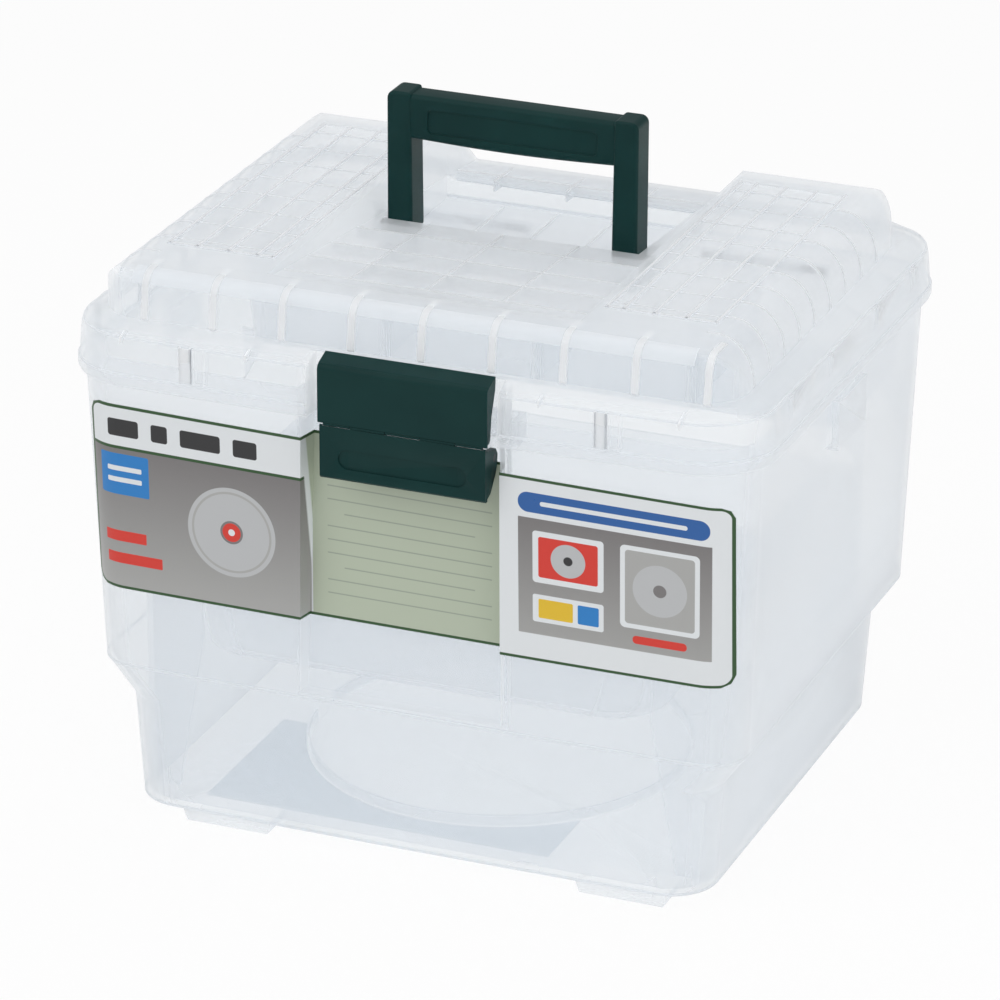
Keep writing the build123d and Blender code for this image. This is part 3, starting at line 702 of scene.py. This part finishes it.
treads = {
    "rows": (88.7, 97.3, 113.1, 129.7, 145.0),
    "front": -98.0,
    "back": 97.0,
    "top": 300.05,
    "line": 1.1,
    "lineDeep": 0.6,
    "endBar": (0.3, 1.7),     # the bar across the front end, from and to
    "crossFirst": -87.8,
    "crossPitch": 24.7,
    "crossCount": 8,
    "crossThick": 0.8,
    "crossSunk": (1.6, 0.93),   # the cross ribs lie this far under the crests, low and high
}


def makeTreads(t):
    # bright crests on the long strips of the two side treads and the cross ribs between them
    bm = bmesh.new()
    top = t["top"]
    half = t["line"] / 2
    thin = t["crossThick"] / 2
    low, high = t["crossSunk"]
    for side in (-1, 1):
        for row in t["rows"]:
            addBox(bm, side * row - half, side * row + half, t["front"], t["back"],
                   top - t["lineDeep"], top)
        a, b = sorted((side * t["rows"][0], side * t["rows"][-1]))
        y0, y1 = [t["front"] + step for step in t["endBar"]]
        addBox(bm, a, b, y0, y1, top - t["lineDeep"], top)
        for k in range(t["crossCount"]):
            y = t["crossFirst"] + k * t["crossPitch"]
            addBox(bm, a, b, y - thin, y + thin, top - low, top - high)
    finishMesh(bm, "treadBars", ribFinish, "lid")


sideRibs = {
    "places": (-109.0, -86.0, -64.5, -42.0, -20.0, 4.0, 28.0, 52.0, 76.5),
    "foot": (169.1, 274.3),   # x and z of the arch on the right side
    "middle": (150.5, 276.0),
    "across": 18.6,
    "high": 23.2,
    "end": (145.0, 299.2),
    "inward": (-0.9, -0.9),
    "width": 1.0,
}


def makeSideRibs(r, steps=8):
    # arched ribs up the dome's two side walls
    cx, cz = r["middle"]
    turns = [math.radians(90 * step / steps) for step in range(steps + 1)]
    arc = [(cx + r["across"] * math.cos(t), cz + r["high"] * math.sin(t)) for t in turns]
    outline = thicken([r["foot"], *arc, r["end"]], r["inward"])
    bm = bmesh.new()
    for side in (-1, 1):
        points = [(side * x, z) for x, z in outline]
        for y in r["places"]:
            addPrism(bm, points, "y", y - r["width"] / 2, y + r["width"] / 2)
    finishMesh(bm, "sideRibs", ribFinish, "lid")


skirtRibs = {
    "low": 248.2,
    "thick": 1.2,
    "frontGussets": (-148.0, -80.5, 74.0, 146.0),
    "frontGusset": ((-150.4, 264.5), (-150.2, 267.4), (-139.0, 271.0), (-141.0, 269.8)),
    "frontStrips": (-113.0, 106.0),
    "frontHalf": 3.2,
    "frontY": (-150.6, -149.7),
    "frontHigh": 266.5,
    "flangeWide": 1.0,        # two upright flanges close a front strip
    "flangeY": -148.4,
    "flangeHigh": 267.0,
    "sideStrips": (-108.0, -57.0, -5.0, 47.0, 99.0),
    "sideHalf": 3.0,
    "sideX": (180.2, 181.4),
    "sideHigh": 265.5,
    "sideGussets": (-83.0, -31.0, 21.0, 73.0),
    "sideGusset": ((181.6, 263.5), (181.2, 267.0), (170.5, 270.6), (172.0, 269.2)),
}


def makeSkirtRibs(r):
    # small gussets under the shoulder and upright strips inside the skirt
    bm = bmesh.new()
    thin = r["thick"] / 2
    for x in r["frontGussets"]:
        addPrism(bm, r["frontGusset"], "x", x - thin, x + thin)
    y0, y1 = r["frontY"]
    half = r["frontHalf"]
    inner = half - r["flangeWide"]
    for x in r["frontStrips"]:
        addBox(bm, x - half, x + half, y0, y1, r["low"], r["frontHigh"])
        addBox(bm, x - half, x - inner, y0, r["flangeY"], r["low"], r["flangeHigh"])
        addBox(bm, x + inner, x + half, y0, r["flangeY"], r["low"], r["flangeHigh"])
    for side in (-1, 1):
        x0, x1 = sorted(side * x for x in r["sideX"])
        for y in r["sideStrips"]:
            addBox(bm, x0, x1, y - r["sideHalf"], y + r["sideHalf"], r["low"], r["sideHigh"])
        points = [(side * x, z) for x, z in r["sideGusset"]]
        for y in r["sideGussets"]:
            addPrism(bm, points, "y", y - thin, y + thin)
    finishMesh(bm, "skirtRibs", ribFinish, "lid")


# painted highlights, whiter strips where the walls turn: width, depth, corner radius, bow, low
# z, high z
highlightLines = {
    "lidBandHighlight": (369.1, 306.1, 37.6, 1.8, 247.0, 248.2),
    "lidShoulderHighlight": (363.9, 300.9, 35.0, 1.8, 266.2, 267.3),
    "bodyLedgeHighlight": (347.5, 278.4, 22.1, 1.3, 82.3, 83.4),
    "bodyFootHighlight": (312.7, 272.2, 25.1, 0.6, 6.6, 7.8),
}
highlightLineDeep = 0.8
latchGap = (55.0, -48.0)      # the lid's lines stop on both sides of the latch


def planPath(width, depth, radius, bow, first, last, steps=12):
    # the moulding's outline from above, from first on the front edge round the back to last
    flat = width / 2 - radius
    back = depth / 2 - radius
    near = -depth / 2 + bow + radius

    def front(x):
        return (x, -depth / 2 + bow * (x / flat) ** 2)

    points = [front(first + (flat - first) * i / steps) for i in range(steps)]
    middles = ((flat, near), (flat, back), (-flat, back), (-flat, near))
    for corner, (cx, cy) in enumerate(middles):
        points += roundCorner(cx, cy, radius, 270 + 90 * corner, 10)
    return points + [front(-flat + (last + flat) * i / steps) for i in range(1, steps + 1)]


def addChain(bm, points, z, closed):
    # a row of edges through the points, and back to the first if it is closed
    verts = [bm.verts.new((x, y, z)) for x, y in points]
    edges = [bm.edges.new(pair) for pair in zip(verts, verts[1:])]
    if closed:
        edges.append(bm.edges.new((verts[-1], verts[0])))
    return edges


def makeHighlightLine(name, line, body, gap):
    # a whiter strip round the walls where they turn: a painted highlight
    width, depth, radius, bow, z0, z1 = line
    deep = highlightLineDeep
    outer = planPath(width, depth, radius, bow, *gap)
    inner = planPath(width - 2 * deep, depth - 2 * deep, radius - deep, bow, *gap)
    closed = gap[0] == gap[1]
    if closed:
        outer.pop()
        inner.pop()
    bm = bmesh.new()
    edges = addChain(bm, outer, z0, closed) + addChain(bm, inner, z0, closed)
    strip = bmesh.ops.bridge_loops(bm, edges=edges)["faces"]
    pullFaces(bm, strip, (0, 0, z1 - z0))
    finishMesh(bm, name, paintedHighlightFinish, body)


for name, line in highlightLines.items():
    onLid = name.startswith("lid")
    makeHighlightLine(name, line, "lid" if onLid else "body", latchGap if onLid else (0.0, 0.0))
makeFrontRibs(lidRibs)
makeDeckRibs(lidRibs)
makeTreads(treads)
makeSideRibs(sideRibs)
makeSkirtRibs(skirtRibs)
print("lid ribs built")


# a thin, darker plate on the flat floor in front of the blade ring, cut round the ring: painted
# shade
floorShadePlate = {
    "x": (-118.5, 70.0),
    "y": (-122.0, -24.0),
    "z": (9.55, 9.85),
    "middle": (-2.5, -5.6),
    "radius": 101.8,
}


def makeFloorShadePlate(p, steps=60):
    mx, my = p["middle"]
    (x0, x1), (y0, y1) = p["x"], p["y"]
    first = math.pi + math.asin((my - y1) / p["radius"])
    last = math.tau - math.acos((x1 - mx) / p["radius"])
    turns = [last + (first - last) * i / steps for i in range(steps + 1)]
    arc = [(mx + p["radius"] * math.cos(t), my + p["radius"] * math.sin(t)) for t in turns]
    bm = bmesh.new()
    addPrism(bm, [(x0, y1), (x0, y0), (x1, y0), *arc], "z", *p["z"])
    finishMesh(bm, "floorShadePlate", floorShadeFinish, "body")


makeFloorShadePlate(floorShadePlate)
print("floor plate built")


# studio
studio = {
    "place": (1.0027, -2.5173, 1.2938),
    "azimuth": 21.8313,
    "elevation": 22.9698,
    "roll": 0.2527,
    "lens": 205.48,
    "worldLight": 0.44,
    "floorHalf": 30000,       # millimetres from the middle of the floor to its edge
    "floorDrop": 0.2,
    "floorTone": (0.96, 0.96, 0.96),
    "floorRoughness": 0.8,
    "floorGlow": 0.92,        # the share of plain white that the floor shows to the camera
}
lamps = {                     # place, aim, width and length in metres, and watts
    "keyLight": ((-1.1, -1.5, 1.9), (0, 0, 0.15), (2.4, 2.4), 20),
    "topLight": ((0.2, 0.3, 2.2), (0, 0, 0.2), (1.8, 1.8), 11),
    "fillLight": ((1.9, -1.0, 0.9), (0, 0, 0.15), (1.6, 1.6), 10),
}


def placeCamera(s):
    a = math.radians(s["azimuth"])
    e = math.radians(s["elevation"])
    r = math.radians(s["roll"])
    ahead = Vector((-math.sin(a) * math.cos(e), math.cos(a) * math.cos(e), -math.sin(e)))
    right = Vector((math.cos(a), math.sin(a), 0))
    up = right.cross(ahead)
    across = math.cos(r) * right + math.sin(r) * up
    upward = -math.sin(r) * right + math.cos(r) * up
    data = bpy.data.cameras.new("studioCamera")
    data.lens = s["lens"]
    data.sensor_width = 36.0
    data.clip_end = 50.0
    camera = bpy.data.objects.new("studioCamera", data)
    turn = Matrix((across, upward, -ahead)).transposed().to_4x4()
    camera.matrix_world = Matrix.Translation(s["place"]) @ turn
    bpy.context.scene.collection.objects.link(camera)
    bpy.context.scene.camera = camera


def softLight(name, place, target, size, watts):
    data = bpy.data.lights.new(name, "AREA")
    data.shape = "RECTANGLE"
    data.size, data.size_y = size
    data.energy = watts
    lamp = bpy.data.objects.new(name, data)
    lamp.location = place
    lamp.rotation_euler = (Vector(target) - Vector(place)).to_track_quat("-Z", "Y").to_euler()
    bpy.context.scene.collection.objects.link(lamp)


def seenBy(tree, *rays):
    # 1 for rays of either kind, 0 for the rest
    path = tree.nodes.new("ShaderNodeLightPath")
    most = tree.nodes.new("ShaderNodeMath")
    most.operation = "MAXIMUM"
    for i, ray in enumerate(rays):
        tree.links.new(path.outputs[ray], most.inputs[i])
    return most.outputs["Value"]


def paleWorld(s):
    world = bpy.data.worlds.new("studioWorld")
    bpy.context.scene.world = world
    world.use_nodes = True
    tree = world.node_tree
    back = next(n for n in tree.nodes if n.type == "BACKGROUND")
    back.inputs["Color"].default_value = (1, 1, 1, 1)
    seen = seenBy(tree, "Is Camera Ray", "Is Transmission Ray")
    rangeTo(tree, seen, back.inputs["Strength"], s["worldLight"], 1.0)


def paleFloor(s):
    bm = bmesh.new()
    bmesh.ops.create_grid(bm, x_segments=1, y_segments=1, size=s["floorHalf"])
    bmesh.ops.translate(bm, vec=(0, 0, -s["floorDrop"]), verts=bm.verts)
    material, tree, shader = newMaterial("paleFloor")
    shader.inputs["Base Color"].default_value = (*s["floorTone"], 1)
    shader.inputs["Roughness"].default_value = s["floorRoughness"]
    glow = tree.nodes.new("ShaderNodeEmission")
    glow.inputs["Color"].default_value = (1, 1, 1, 1)
    mix = mixShaders(tree, shader.outputs["BSDF"], glow.outputs["Emission"])
    seen = seenBy(tree, "Is Camera Ray", "Is Glossy Ray")
    rangeTo(tree, seen, mix.inputs["Fac"], 0.0, s["floorGlow"])
    showShader(tree, mix.outputs["Shader"])
    finishMesh(bm, "paleFloor", material, None)


placeCamera(studio)
for name, lamp in lamps.items():
    softLight(name, *lamp)
paleWorld(studio)
paleFloor(studio)
bpy.context.scene.view_settings.view_transform = "Standard"
bpy.context.scene.cycles.transparent_max_bounces = 32
bpy.context.scene.cycles.diffuse_bounces = 8
print("studio ready")
